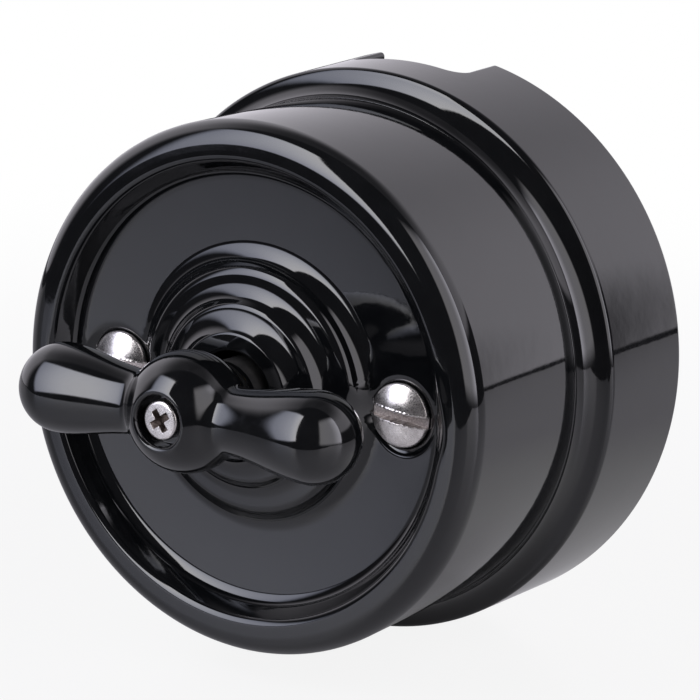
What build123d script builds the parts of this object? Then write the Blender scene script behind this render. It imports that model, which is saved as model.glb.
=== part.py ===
"""Retro surface-mounted rotary wall switch in black glazed porcelain.

Frame: the origin is the centre of the back face, on the wall. The front faces -Y, +Z is up
and the knob turns about the Y axis. Sizes are in millimetres. A depth is a distance from the
wall towards the front, so a point at depth d has y = -d.
"""

import os
from math import sqrt

from build123d import *

os.makedirs("parts", exist_ok=True)

# Fits between pieces
contact_gap = 0.25
running_gap = 0.2
shaft_clearance = 0.05
slip_clearance = 0.1
loose_clearance = 0.3

# Porcelain base
base_front_radius = 35.0
base_draft = 0.6
base_front_depth = 16.5
base_wall = 5.5
base_floor = 4.0
base_edge_round = 0.6
shoulder_rise = 3.1
shoulder_land = 0.35
cove_run = 1.8
cove_rise = 1.0
cove_round = 3.5
notch_width = 15.6
notch_depth = 8.2
notch_corner = 2.0
notch_setback = 1.4
wall_hole_inset = 5.5
wall_hole_radius = 2.25
wall_hole_angle = 45.0
wall_head_radius = 4.5
wall_head_depth = 1.5

# Porcelain cover
shoulder_width = 3.25
cover_height = 23.1
cover_face = 4.0
cover_edge_round = 0.5
cover_inner_round = 1.0
rim_round = 2.7
rim_width = 4.5
field_drop = 3.7
field_dish = 0.5
ogee_run = 1.6
ogee_round = 1.8
ogee_foot_round = 2.6
ring_rise = 2.0
ring_tread = 4.0
ring_foot_round = 2.3
ring_nose_round = 1.2
step_rise = 1.6
step_tread = 3.05
step_foot_round = 2.4
step_nose_round = 0.7
boss_rise = 1.3
boss_wall = 3.3
boss_foot_round = 3.5
boss_nose_round = 0.4
stair_lean = 1.2
stem_gap = 1.0
spigot_length = 2.2
spigot_wall = 1.7

# Knob
hub_radius = 7.05
hub_standoff = 8.6
wing_lead = 0.1
wing_reach = 22.8
wing_ball_radius = 5.3
wing_neck_radius = 3.8
wing_neck_reach = 6.0
wing_blend = 1.6
stem_radius = 4.3
stem_entry = 5.0
stem_blend = 1.0
recess_radius = 3.5
recess_sink = 1.5
recess_lip_round = 0.5

# Screws that show
cover_screw_head_radius = 3.8
cover_screw_dome = 1.3
cover_screw_radius = 1.95
cover_screw_length = 11.0
slot_width = 1.2
slot_depth = 1.5
knob_screw_head_radius = 2.3
knob_screw_proud = 0.8
knob_screw_radius = 1.25
knob_screw_length = 13.0
cross_width = 0.75
cross_reach = 1.45
cross_depth = 1.2

# Mechanism block and the strap on it
body_floor = 3.5
body_margin = 0.6
chamber_radius = 10.0
plate_end_gap = 1.5
plate_width = 13.0
plate_thickness = 1.5
fixing_wall = 2.6
fixing_radius = 1.5
fixing_head_radius = 2.7
fixing_head_height = 1.8
fixing_grip = 6.0
pillar_across_flats = 7.0
pillar_gap = 1.05
pillar_spigot_radius = 2.0

# Spindle and its bearing
journal_radius = 3.0
seat_side = 4.4
pivot_radius = 2.0
pivot_depth = 2.0
flat_across = 4.6
flats_length = 13.0
clip_groove = 0.5
clip_radius = 5.2
clip_thickness = 0.8
bush_radius = 5.0
bush_reach = 9.0
bush_flange = 2.0
bush_flange_radius = 6.8
nut_across_flats = 13.0
nut_height = 3.5
washer_radius = 5.5
washer_thickness = 0.8

# Contacts and detent
contact_thickness = 1.2
contact_width = 5.0
contact_inner_reach = 6.0
button_radius = 1.5
button_height = 0.25
bridge_thickness = 0.8
bridge_width = 4.2
bridge_hub_radius = 5.0
rotor_gap = 0.6
rotor_thickness = 2.5
cam_half_width = 6.0
cam_corner_radius = 6.5
cam_height = 3.5
spring_thickness = 0.5
spring_grip = 1.4
terminal_width = 7.2
terminal_length = 4.6
terminal_height = 7.8
terminal_wall = 2.3
terminal_screw_radius = 1.5
wire_hole_radius = 1.2
wire_hole_height = 2.8

# Depths and radii that follow
base_back_radius = base_front_radius + base_draft
cavity_radius = base_front_radius - base_wall
wall_hole_circle = 2 * (cavity_radius - wall_hole_inset)
cover_radius = base_front_radius - shoulder_width
spigot_radius = cavity_radius - loose_clearance
cover_inner_radius = spigot_radius - spigot_wall
bore_radius = stem_radius + stem_gap
boss_foot_radius = bore_radius + boss_wall
step_foot_radius = boss_foot_radius + step_tread
ring_foot_radius = step_foot_radius + ring_tread
seat_depth = base_front_depth + shoulder_rise
rim_depth = seat_depth + cover_height
field_depth = rim_depth - field_drop
ring_depth = field_depth + ring_rise
step_depth = ring_depth + step_rise
boss_depth = step_depth + boss_rise
ceiling_depth = field_depth - cover_face
boss_ceiling_depth = ring_depth - cover_face

terminal_inner_reach = chamber_radius + terminal_wall
contact_outer_reach = terminal_inner_reach + terminal_length
body_radius = contact_outer_reach + body_margin
fixing_spacing = 2 * (chamber_radius + fixing_wall)
pillar_inset = fixing_head_radius + pillar_gap + pillar_across_flats / 2
cover_screw_spacing = fixing_spacing + 2 * pillar_inset
plate_length = 2 * (cover_inner_radius - plate_end_gap)
rotor_radius = chamber_radius - rotor_gap
contact_circle = 2 * (chamber_radius - slip_clearance) - bridge_width

chamber_depth = base_floor + body_floor
contact_top = chamber_depth + contact_thickness
bridge_depth = contact_top + contact_gap + button_height
rotor_depth = bridge_depth + bridge_thickness
cam_depth = rotor_depth + rotor_thickness
washer_depth = cam_depth + cam_height
flange_depth = washer_depth + washer_thickness + running_gap
plate_depth = flange_depth + bush_flange
plate_front = plate_depth + plate_thickness
bush_front = plate_depth + bush_reach
clip_depth = bush_front + running_gap
hub_depth = boss_depth + hub_standoff
wing_depth = hub_depth + wing_lead
lip_depth = hub_depth + sqrt(hub_radius**2 - recess_radius**2)
recess_depth = lip_depth - recess_sink
stem_depth = boss_depth - stem_entry
spindle_front = stem_depth + flats_length
wing_ball_reach = wing_reach - wing_ball_radius
screw_places = (-cover_screw_spacing / 2, cover_screw_spacing / 2)
sides = (-1, 1)

# Half-section plane for turned pieces: local x is the radius, local y is the depth
SECTION = Plane(origin=(0, 0, 0), x_dir=(1, 0, 0), z_dir=(0, 0, -1))
# The same for the hub, turned upright so that its seam stays clear of the wings
UPRIGHT_SECTION = Plane(origin=(0, 0, 0), x_dir=(0, 0, 1), z_dir=(1, 0, 0))


def at(depth):
    """Plane parallel to the wall at a depth; it extrudes towards the front."""
    return Plane.XZ.offset(depth)


def outline(corners):
    """Closed outline through (x, y, round) corners, drawn in the current line block."""
    FilletPolyline(*[(x, y) for x, y, _ in corners], radius=[r for _, _, r in corners], close=True)


def front_facing(x, z, depth):
    """Plane at a point of the face, looking out to the front, for drilled holes."""
    return Plane(origin=(x, -depth, z), x_dir=(1, 0, 0), z_dir=(0, -1, 0))


# Base: a turned dish with a coved shoulder, a cable notch at the top and two wall screw holes
with BuildPart() as base:
    with BuildSketch(SECTION):
        with BuildLine():
            outline([
                (0, 0, 0),
                (base_back_radius, 0, base_edge_round),
                (base_front_radius, base_front_depth, base_edge_round),
                (base_front_radius - cove_run, base_front_depth + cove_rise, cove_round),
                (cover_radius + shoulder_land, seat_depth, base_edge_round / 2),
                (cavity_radius, seat_depth, base_edge_round / 2),
                (cavity_radius, base_floor, base_edge_round),
                (0, base_floor, 0),
            ])
        make_face()
    revolve(axis=Axis.Y)
    with BuildSketch(Plane.XY.offset(body_radius + notch_setback)):
        with BuildLine():
            outline([
                (-notch_width / 2, -notch_depth, notch_corner),
                (notch_width / 2, -notch_depth, notch_corner),
                (notch_width / 2, base_wall, 0),
                (-notch_width / 2, base_wall, 0),
            ])
        make_face()
    extrude(amount=base_back_radius, mode=Mode.SUBTRACT)
    with BuildSketch(at(0)):
        with PolarLocations(wall_hole_circle / 2, 2, start_angle=wall_hole_angle):
            Circle(wall_hole_radius)
        with GridLocations(fixing_spacing, 0, 2, 1):
            Circle(fixing_radius + slip_clearance)
    extrude(amount=base_floor, mode=Mode.SUBTRACT)
    with BuildSketch(at(base_floor - wall_head_depth)):
        with PolarLocations(wall_hole_circle / 2, 2, start_angle=wall_hole_angle):
            Circle(wall_head_radius)
    extrude(amount=wall_head_depth, mode=Mode.SUBTRACT)
    with BuildSketch(at(0)):
        with GridLocations(fixing_spacing, 0, 2, 1):
            Circle(fixing_head_radius + loose_clearance)
    extrude(amount=fixing_head_height + loose_clearance, mode=Mode.SUBTRACT)
base.part.label = "base"
export_step(base.part, "parts/base.step")

# Cover: a turned cap with a rounded rim, a dished field and a stepped boss round the bore
screw_recess_radius = cover_screw_head_radius + cover_edge_round
with BuildPart() as cover:
    with BuildSketch(SECTION):
        with BuildLine():
            outline([
                (cover_radius, seat_depth, cover_edge_round),
                (cover_radius, rim_depth, rim_round),
                (cover_radius - rim_width, rim_depth, ogee_round),
                (cover_radius - rim_width - ogee_run, field_depth + field_dish, ogee_foot_round),
                (ring_foot_radius, field_depth - field_dish, ring_foot_round),
                (ring_foot_radius - stair_lean, ring_depth, ring_nose_round),
                (step_foot_radius, ring_depth, step_foot_round),
                (step_foot_radius - stair_lean, step_depth, step_nose_round),
                (boss_foot_radius, step_depth, boss_foot_round),
                (boss_foot_radius - stair_lean, boss_depth, boss_nose_round),
                (bore_radius, boss_depth, cover_edge_round),
                (bore_radius, boss_ceiling_depth, cover_edge_round),
                (step_foot_radius, boss_ceiling_depth, cover_edge_round),
                (ring_foot_radius, ceiling_depth, cover_inner_round),
                (cover_inner_radius, ceiling_depth, cover_inner_round),
                (cover_inner_radius, seat_depth - spigot_length, cover_edge_round),
                (spigot_radius, seat_depth - spigot_length, cover_edge_round),
                (spigot_radius, seat_depth, 0),
            ])
        make_face()
    revolve(axis=Axis.Y)
    with BuildSketch(at(field_depth)):
        with GridLocations(cover_screw_spacing, 0, 2, 1):
            Circle(screw_recess_radius)
    extrude(amount=field_drop, mode=Mode.SUBTRACT)
    with Locations(*[front_facing(x, 0, field_depth) for x in screw_places]):
        CounterSinkHole(
            radius=cover_screw_radius + loose_clearance,
            counter_sink_radius=screw_recess_radius,
            depth=2 * cover_face,
            counter_sink_angle=90,
        )
cover.part.label = "cover"
export_step(cover.part, "parts/cover.step")

# Cover screws: raised countersunk heads with a straight slot, seated in the cover's cones
screw_rim_depth = field_depth - cover_edge_round + shaft_clearance
with BuildPart() as cover_screws:
    for x in screw_places:
        half_section = Plane(origin=(x, 0, 0), x_dir=(1, 0, 0), z_dir=(0, 0, -1))
        cone_depth = screw_rim_depth - (cover_screw_head_radius - cover_screw_radius)
        with BuildSketch(half_section):
            with BuildLine():
                dome = ThreePointArc(
                    (-cover_screw_head_radius, screw_rim_depth),
                    (0, screw_rim_depth + cover_screw_dome),
                    (cover_screw_head_radius, screw_rim_depth),
                )
                Polyline(
                    dome @ 1,
                    (cover_screw_radius, cone_depth),
                    (cover_screw_radius, screw_rim_depth - cover_screw_length),
                    (-cover_screw_radius, screw_rim_depth - cover_screw_length),
                    (-cover_screw_radius, cone_depth),
                    dome @ 0,
                )
            make_face()
            split(bisect_by=Plane.YZ, keep=Keep.TOP)
        revolve(axis=Axis((x, 0, 0), (0, 1, 0)))
        with BuildSketch(at(screw_rim_depth + cover_screw_dome - slot_depth)):
            with Locations((x, 0)):
                Rectangle(3 * cover_screw_head_radius, slot_width)
        extrude(amount=slot_depth, mode=Mode.SUBTRACT)
cover_screws.part.label = "cover_screws"
export_step(cover_screws.part, "parts/cover_screws.step")

# Knob: a ball hub on a stem, with two drop-shaped wings turned about the X axis
ball_back = (stem_radius, hub_depth - sqrt(hub_radius**2 - stem_radius**2))
ball_front = (recess_radius, lip_depth)
with BuildPart() as knob:
    with BuildSketch(UPRIGHT_SECTION) as hub_section:
        with BuildLine():
            ThreePointArc(ball_back, (hub_radius, hub_depth), ball_front)
            Polyline(
                ball_front,
                (recess_radius, recess_depth),
                (0, recess_depth),
                (0, stem_depth),
                (stem_radius, stem_depth),
                ball_back,
            )
        make_face()
        fillet(hub_section.vertices().sort_by_distance(ball_front)[0], recess_lip_round)
        fillet(hub_section.vertices().sort_by_distance(ball_back)[0], stem_blend)
    revolve(axis=Axis.Y)
    with BuildSketch(Plane(origin=(0, -wing_depth, 0), x_dir=(1, 0, 0), z_dir=(0, 0, 1))):
        with BuildLine():
            flank = Spline(
                (wing_neck_reach, wing_neck_radius),
                (wing_ball_reach, wing_ball_radius),
                tangents=[(1, 0), (1, 0)],
            )
            tip = RadiusArc(flank @ 1, (wing_reach, 0), wing_ball_radius)
            Polyline(tip @ 1, (0, 0), (0, wing_neck_radius), flank @ 0)
        make_face()
        mirror(about=Plane.YZ)
    revolve(axis=Axis((0, -wing_depth, 0), (1, 0, 0)))
    meeting_edges = [e for e in knob.edges() if e.geom_type not in (GeomType.LINE, GeomType.CIRCLE)]
    fillet([e for e in meeting_edges if abs(e.center().X) > wing_neck_radius], wing_blend)
    with BuildSketch(at(stem_depth)):
        Circle(journal_radius + shaft_clearance)
        Rectangle(
            2 * hub_radius,
            flat_across + 2 * shaft_clearance,
            mode=Mode.INTERSECT,
        )
    extrude(amount=spindle_front + slip_clearance - stem_depth, mode=Mode.SUBTRACT)
    with Locations(front_facing(0, 0, recess_depth)):
        CounterSinkHole(
            radius=knob_screw_radius + slip_clearance,
            counter_sink_radius=knob_screw_head_radius + slip_clearance,
            depth=recess_depth - spindle_front,
            counter_sink_angle=90,
        )
knob.part.label = "knob"
export_step(knob.part, "parts/knob.step")

# Knob screw: a countersunk head with a cross recess, driven into the spindle's end
screw_face_depth = recess_depth + knob_screw_proud
with BuildPart() as knob_screw:
    with BuildSketch(SECTION):
        with BuildLine():
            outline([
                (0, screw_face_depth, 0),
                (knob_screw_head_radius, screw_face_depth, knob_screw_proud / 2),
                (knob_screw_head_radius, recess_depth, 0),
                (knob_screw_radius, recess_depth - knob_screw_head_radius + knob_screw_radius, 0),
                (knob_screw_radius, screw_face_depth - knob_screw_length, 0),
                (0, screw_face_depth - knob_screw_length, 0),
            ])
        make_face()
    revolve(axis=Axis.Y)
    with BuildSketch(at(screw_face_depth - cross_depth)):
        Rectangle(2 * cross_reach, cross_width)
        Rectangle(cross_width, 2 * cross_reach)
    extrude(amount=cross_depth, mode=Mode.SUBTRACT)
knob_screw.part.label = "knob_screw"
export_step(knob_screw.part, "parts/knob_screw.step")

# Mechanism body: a round insulating block with a chamber, spring slots and terminal pockets
spring_offset = cam_corner_radius + slip_clearance + spring_thickness / 2
spring_half_length = sqrt(chamber_radius**2 - spring_offset**2) + spring_grip
with BuildPart() as mechanism_body:
    with BuildSketch(at(base_floor)):
        Circle(body_radius)
    extrude(amount=plate_depth - base_floor)
    with BuildSketch(at(chamber_depth)):
        Circle(chamber_radius)
        for side in sides:
            with Locations((0, side * (contact_inner_reach + contact_outer_reach) / 2)):
                Rectangle(
                    contact_width + 2 * slip_clearance,
                    contact_outer_reach - contact_inner_reach + 2 * slip_clearance,
                )
    extrude(amount=contact_thickness, mode=Mode.SUBTRACT)
    with BuildSketch(at(contact_top)):
        Circle(chamber_radius)
        for side in sides:
            with Locations((0, side * (terminal_inner_reach - slip_clearance))):
                Rectangle(
                    terminal_width + 2 * slip_clearance,
                    body_radius,
                    align=(Align.CENTER, Align.MIN if side > 0 else Align.MAX),
                )
    extrude(amount=plate_depth - contact_top, mode=Mode.SUBTRACT)
    with BuildSketch(at(cam_depth)):
        with GridLocations(0, 2 * spring_offset, 1, 2):
            Rectangle(
                2 * (spring_half_length + slip_clearance),
                spring_thickness + 2 * slip_clearance,
            )
    extrude(amount=plate_depth - cam_depth, mode=Mode.SUBTRACT)
    with BuildSketch(at(chamber_depth - pivot_depth)):
        Circle(pivot_radius + shaft_clearance)
    extrude(amount=pivot_depth, mode=Mode.SUBTRACT)
    with BuildSketch(at(base_floor)):
        with GridLocations(fixing_spacing, 0, 2, 1):
            Circle(fixing_radius + shaft_clearance)
    extrude(amount=fixing_grip, mode=Mode.SUBTRACT)
    with BuildSketch(at(plate_depth - fixing_grip)):
        with GridLocations(fixing_spacing, 0, 2, 1):
            Circle(fixing_radius + shaft_clearance)
    extrude(amount=fixing_grip, mode=Mode.SUBTRACT)
mechanism_body.part.label = "mechanism_body"
export_step(mechanism_body.part, "parts/mechanism_body.step")

# Mechanism screws: pan heads sunk in the base's back, holding the block
head_bottom_depth = loose_clearance
with BuildPart() as mechanism_screws:
    with BuildSketch(at(head_bottom_depth)):
        with GridLocations(fixing_spacing, 0, 2, 1):
            Circle(fixing_head_radius)
    extrude(amount=fixing_head_height)
    with BuildSketch(at(head_bottom_depth)):
        with GridLocations(fixing_spacing, 0, 2, 1):
            Circle(fixing_radius)
    extrude(amount=base_floor + fixing_grip - 2 * head_bottom_depth)
    with BuildSketch(at(head_bottom_depth)):
        with GridLocations(fixing_spacing, 0, 2, 1):
            Rectangle(2 * fixing_head_radius, cross_width)
    extrude(amount=fixing_head_height / 2, mode=Mode.SUBTRACT)
mechanism_screws.part.label = "mechanism_screws"
export_step(mechanism_screws.part, "parts/mechanism_screws.step")

# Mounting plate: a steel strap with round ends across the block
with BuildPart() as mounting_plate:
    with BuildSketch(at(plate_depth)):
        SlotOverall(plate_length, plate_width)
        Circle(bush_radius + slip_clearance, mode=Mode.SUBTRACT)
        with GridLocations(fixing_spacing, 0, 2, 1):
            Circle(fixing_radius + slip_clearance, mode=Mode.SUBTRACT)
        with GridLocations(cover_screw_spacing, 0, 2, 1):
            Circle(pillar_spigot_radius + shaft_clearance, mode=Mode.SUBTRACT)
    extrude(amount=plate_thickness)
mounting_plate.part.label = "mounting_plate"
export_step(mounting_plate.part, "parts/mounting_plate.step")

# Plate screws: pan heads on the strap, driven into the block
with BuildPart() as plate_screws:
    with BuildSketch(at(plate_front)):
        with GridLocations(fixing_spacing, 0, 2, 1):
            Circle(fixing_head_radius)
    extrude(amount=fixing_head_height)
    with BuildSketch(at(plate_depth - fixing_grip + loose_clearance)):
        with GridLocations(fixing_spacing, 0, 2, 1):
            Circle(fixing_radius)
    extrude(amount=fixing_grip + plate_thickness)
    with BuildSketch(at(plate_front + fixing_head_height / 2)):
        with GridLocations(fixing_spacing, 0, 2, 1):
            Rectangle(2 * fixing_head_radius, cross_width)
    extrude(amount=fixing_head_height, mode=Mode.SUBTRACT)
plate_screws.part.label = "plate_screws"
export_step(plate_screws.part, "parts/plate_screws.step")

# Cover pillars: hexagonal posts on the strap, drilled for the cover screws
pillar_front = ceiling_depth - slip_clearance
with BuildPart() as cover_pillars:
    with BuildSketch(at(plate_front)):
        with GridLocations(cover_screw_spacing, 0, 2, 1):
            RegularPolygon(pillar_across_flats / 2, 6, major_radius=False, rotation=30)
    extrude(amount=pillar_front - plate_front)
    with BuildSketch(at(plate_depth)):
        with GridLocations(cover_screw_spacing, 0, 2, 1):
            Circle(pillar_spigot_radius)
    extrude(amount=plate_thickness)
    with BuildSketch(at(screw_rim_depth - cover_screw_length - loose_clearance)):
        with GridLocations(cover_screw_spacing, 0, 2, 1):
            Circle(cover_screw_radius + shaft_clearance)
    extrude(amount=cover_screw_length + cover_screw_dome, mode=Mode.SUBTRACT)
cover_pillars.part.label = "cover_pillars"
export_step(cover_pillars.part, "parts/cover_pillars.step")

# Shaft bush: a flanged brass bush through the strap
with BuildPart() as shaft_bush:
    with BuildSketch(SECTION):
        with BuildLine():
            outline([
                (journal_radius + shaft_clearance, flange_depth, 0),
                (bush_flange_radius, flange_depth, 0),
                (bush_flange_radius, plate_depth, 0),
                (bush_radius, plate_depth, 0),
                (bush_radius, bush_front, 0),
                (journal_radius + shaft_clearance, bush_front, 0),
            ])
        make_face()
    revolve(axis=Axis.Y)
shaft_bush.part.label = "shaft_bush"
export_step(shaft_bush.part, "parts/shaft_bush.step")

# Bush nut: clamps the bush against the strap
with BuildPart() as bush_nut:
    with BuildSketch(at(plate_front)):
        RegularPolygon(nut_across_flats / 2, 6, major_radius=False)
        Circle(bush_radius + shaft_clearance, mode=Mode.SUBTRACT)
    extrude(amount=nut_height)
bush_nut.part.label = "bush_nut"
export_step(bush_nut.part, "parts/bush_nut.step")

# Spindle: pivot, square seat, journal with a clip groove, and a flatted end for the knob
with BuildPart() as spindle:
    with BuildSketch(at(chamber_depth - pivot_depth + running_gap)):
        Circle(pivot_radius)
    extrude(amount=bridge_depth - chamber_depth + pivot_depth - running_gap)
    with BuildSketch(at(bridge_depth)):
        Rectangle(seat_side, seat_side)
    extrude(amount=washer_depth - bridge_depth)
    with BuildSketch(at(washer_depth)):
        Circle(journal_radius)
    extrude(amount=stem_depth - washer_depth)
    with BuildSketch(at(stem_depth)):
        Circle(journal_radius)
        Rectangle(2 * journal_radius, flat_across, mode=Mode.INTERSECT)
    extrude(amount=flats_length)
    with BuildSketch(at(clip_depth)):
        Circle(journal_radius)
        Circle(journal_radius - clip_groove, mode=Mode.SUBTRACT)
    extrude(amount=clip_thickness + slip_clearance, mode=Mode.SUBTRACT)
    with BuildSketch(at(screw_face_depth - knob_screw_length - loose_clearance)):
        Circle(knob_screw_radius + shaft_clearance)
    extrude(amount=knob_screw_length, mode=Mode.SUBTRACT)
spindle.part.label = "spindle"
export_step(spindle.part, "parts/spindle.step")

# Spindle clip: an open retaining ring in the groove
with BuildPart() as spindle_clip:
    with BuildSketch(at(clip_depth)):
        Circle(clip_radius)
        Circle(journal_radius - clip_groove + shaft_clearance, mode=Mode.SUBTRACT)
        with Locations((0, clip_radius)):
            Rectangle(journal_radius, 2 * clip_radius, mode=Mode.SUBTRACT)
    extrude(amount=clip_thickness)
spindle_clip.part.label = "spindle_clip"
export_step(spindle_clip.part, "parts/spindle_clip.step")

# Thrust washer: runs between the cam and the bush flange
with BuildPart() as thrust_washer:
    with BuildSketch(at(washer_depth)):
        Circle(washer_radius)
        Circle(journal_radius + shaft_clearance, mode=Mode.SUBTRACT)
    extrude(amount=washer_thickness)
thrust_washer.part.label = "thrust_washer"
export_step(thrust_washer.part, "parts/thrust_washer.step")

# Rotor: an insulating disc on the spindle's square seat
with BuildPart() as rotor:
    with BuildSketch(at(rotor_depth)):
        Circle(rotor_radius)
        Rectangle(
            seat_side + 2 * shaft_clearance,
            seat_side + 2 * shaft_clearance,
            mode=Mode.SUBTRACT,
        )
    extrude(amount=rotor_thickness)
rotor.part.label = "rotor"
export_step(rotor.part, "parts/rotor.step")

# Moving contact: a bridge under the rotor with a contact button at each end
with BuildPart() as moving_contact:
    with BuildSketch(at(bridge_depth)):
        SlotCenterToCenter(contact_circle, bridge_width)
        Circle(bridge_hub_radius)
        Rectangle(
            seat_side + 2 * shaft_clearance,
            seat_side + 2 * shaft_clearance,
            mode=Mode.SUBTRACT,
        )
    extrude(amount=bridge_thickness)
    with BuildSketch(at(bridge_depth - button_height)):
        with GridLocations(contact_circle, 0, 2, 1):
            Circle(button_radius)
    extrude(amount=button_height)
moving_contact.part.label = "moving_contact"
export_step(moving_contact.part, "parts/moving_contact.step")

# Detent cam: a square with turned corners, between the two leaf springs
with BuildPart() as detent_cam:
    with BuildSketch(at(cam_depth)):
        Rectangle(2 * cam_half_width, 2 * cam_half_width)
        Circle(cam_corner_radius, mode=Mode.INTERSECT)
        Rectangle(
            seat_side + 2 * shaft_clearance,
            seat_side + 2 * shaft_clearance,
            mode=Mode.SUBTRACT,
        )
    extrude(amount=cam_height)
detent_cam.part.label = "detent_cam"
export_step(detent_cam.part, "parts/detent_cam.step")

# Detent springs: flat leaves whose ends sit in the block's slots
with BuildPart() as detent_springs:
    with BuildSketch(at(cam_depth + slip_clearance)):
        with GridLocations(0, 2 * spring_offset, 1, 2):
            Rectangle(2 * spring_half_length, spring_thickness)
    extrude(amount=cam_height - slip_clearance)
detent_springs.part.label = "detent_springs"
export_step(detent_springs.part, "parts/detent_springs.step")

# Fixed contacts: brass strips from the chamber floor out under the terminals
with BuildPart() as fixed_contacts:
    with BuildSketch(at(chamber_depth)):
        with GridLocations(0, contact_inner_reach + contact_outer_reach, 1, 2):
            Rectangle(contact_width, contact_outer_reach - contact_inner_reach)
    extrude(amount=contact_thickness)
fixed_contacts.part.label = "fixed_contacts"
export_step(fixed_contacts.part, "parts/fixed_contacts.step")

# Terminal blocks: brass clamps with a radial wire hole and a screw hole from the front
terminal_front = contact_top + terminal_height
terminal_spacing = 2 * terminal_inner_reach + terminal_length
with BuildPart() as terminal_blocks:
    with BuildSketch(at(contact_top)):
        with GridLocations(0, terminal_spacing, 1, 2):
            Rectangle(terminal_width, terminal_length)
    extrude(amount=terminal_height)
    with BuildSketch(Plane.XY.offset(-body_radius)):
        with Locations((0, -contact_top - wire_hole_height)):
            Circle(wire_hole_radius)
    extrude(amount=2 * body_radius, mode=Mode.SUBTRACT)
    with BuildSketch(at(contact_top + wire_hole_height)):
        with GridLocations(0, terminal_spacing, 1, 2):
            Circle(terminal_screw_radius + shaft_clearance)
    extrude(amount=terminal_height, mode=Mode.SUBTRACT)
terminal_blocks.part.label = "terminal_blocks"
export_step(terminal_blocks.part, "parts/terminal_blocks.step")

# Terminal screws: slotted cheese heads above the clamps
terminal_shank = terminal_height - wire_hole_height - wire_hole_radius
with BuildPart() as terminal_screws:
    with BuildSketch(at(terminal_front - terminal_shank)):
        with GridLocations(0, terminal_spacing, 1, 2):
            Circle(terminal_screw_radius)
    extrude(amount=terminal_shank)
    with BuildSketch(at(terminal_front)):
        with GridLocations(0, terminal_spacing, 1, 2):
            Circle(terminal_length / 2)
    extrude(amount=fixing_head_height)
    with BuildSketch(at(terminal_front + fixing_head_height / 2)):
        with GridLocations(0, terminal_spacing, 1, 2):
            Rectangle(terminal_length, cross_width)
    extrude(amount=fixing_head_height, mode=Mode.SUBTRACT)
terminal_screws.part.label = "terminal_screws"
export_step(terminal_screws.part, "parts/terminal_screws.step")
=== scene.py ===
from functools import partial
from itertools import product
from math import atan2, ceil, cos, hypot, pi, radians, sin, sqrt, tan

import bpy
import numpy as np
from mathutils import Matrix, Vector
from mathutils.geometry import delaunay_2d_cdt


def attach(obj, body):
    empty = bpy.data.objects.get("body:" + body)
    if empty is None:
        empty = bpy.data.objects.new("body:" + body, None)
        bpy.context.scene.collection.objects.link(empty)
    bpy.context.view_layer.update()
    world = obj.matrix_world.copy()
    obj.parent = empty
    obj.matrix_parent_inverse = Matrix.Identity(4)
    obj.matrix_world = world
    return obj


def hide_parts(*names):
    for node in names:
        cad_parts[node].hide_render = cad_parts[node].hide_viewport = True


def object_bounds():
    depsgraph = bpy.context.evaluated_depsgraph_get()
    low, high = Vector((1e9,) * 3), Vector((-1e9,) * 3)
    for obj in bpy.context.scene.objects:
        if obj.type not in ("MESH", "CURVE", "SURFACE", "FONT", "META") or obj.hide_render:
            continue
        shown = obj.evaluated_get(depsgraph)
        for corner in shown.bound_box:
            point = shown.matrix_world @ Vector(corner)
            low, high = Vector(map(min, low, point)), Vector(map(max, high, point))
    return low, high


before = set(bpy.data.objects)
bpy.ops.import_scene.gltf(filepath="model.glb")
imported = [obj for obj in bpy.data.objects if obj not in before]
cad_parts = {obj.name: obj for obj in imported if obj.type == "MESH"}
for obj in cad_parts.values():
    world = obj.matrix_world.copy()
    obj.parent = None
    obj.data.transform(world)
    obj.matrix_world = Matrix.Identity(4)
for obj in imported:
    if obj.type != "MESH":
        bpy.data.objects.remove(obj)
cad_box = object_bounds()

# The part's sizes are in millimetres, and a depth is a distance from the wall. They are those of its
# source, with some rounds, the screw heads and the small cuts refined to the photograph.
MM = 0.001

# Base
base_front_radius = 35.0
base_back_radius = 35.6
base_front_depth = 16.5
base_edge_round = 0.6
base_floor = 4.0
cavity_radius = 29.5
cove_round = 3.2
seat_depth = 19.6
seat_edge_round = 0.12
notch_half_width = 7.8
notch_depth = 8.2
notch_corner = 2.0
notch_start = 18.9
notch_edge_round = 0.7
wall_hole_reach = 24.0
wall_hole_radius = 2.25
wall_head_radius = 4.5
wall_head_depth = 1.5
fixing_reach = 12.6
fixing_hole_radius = 1.6
fixing_head_radius = 3.0
fixing_head_depth = 2.1
hole_edge_round = 0.35

# Cover
cover_radius = 31.75
cover_inner_radius = 27.5
cover_edge_round = 0.5
cover_inner_round = 1.0
spigot_radius = 29.2
spigot_back = 17.4
seat_corner_round = 0.1
rim_depth = 42.7
rim_round = 2.7
rim_width = 4.5
crest_setback = 0.6
ogee_run = 1.6
ogee_round = 1.1
ogee_foot_round = 1.9
field_depth = 39.0
field_dish = 0.5
ring_foot_radius = 15.65
ring_foot_round = 2.6
ring_depth = 41.0
ring_nose_round = 1.2
step_foot_radius = 11.65
step_foot_round = 2.4
step_depth = 42.6
step_nose_round = 0.7
boss_foot_radius = 8.6
boss_foot_round = 3.5
boss_depth = 43.9
boss_nose_round = 0.4
stair_lean = 1.2
bore_radius = 5.3
ceiling_depth = 35.0
boss_ceiling_depth = 37.0
screw_recess_radius = 4.3
screw_hole_radius = 2.25
screw_lip = 0.9

# Cover screws; a burr's waves are in radians per millimetre and its shares are of its height
screw_reach = 19.85
screw_head_radius = 4.05
screw_rim_depth = 38.8
screw_rim_round = 0.15
screw_dome = 1.3
screw_radius = 1.95
screw_length = 11.0
slot_width = 1.2
slot_depth = 1.5
slot_edge_round = 0.08
slot_turn = radians(-5.3)
slot_burr = 0.12
burr_long_wave = 2.1
burr_short_wave = 5.3
burr_fine_wave = 11.7
burr_fine_share = 0.6
burr_mean_share = 0.45
burr_rise_share = 0.3
burr_side_share = 0.35

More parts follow.
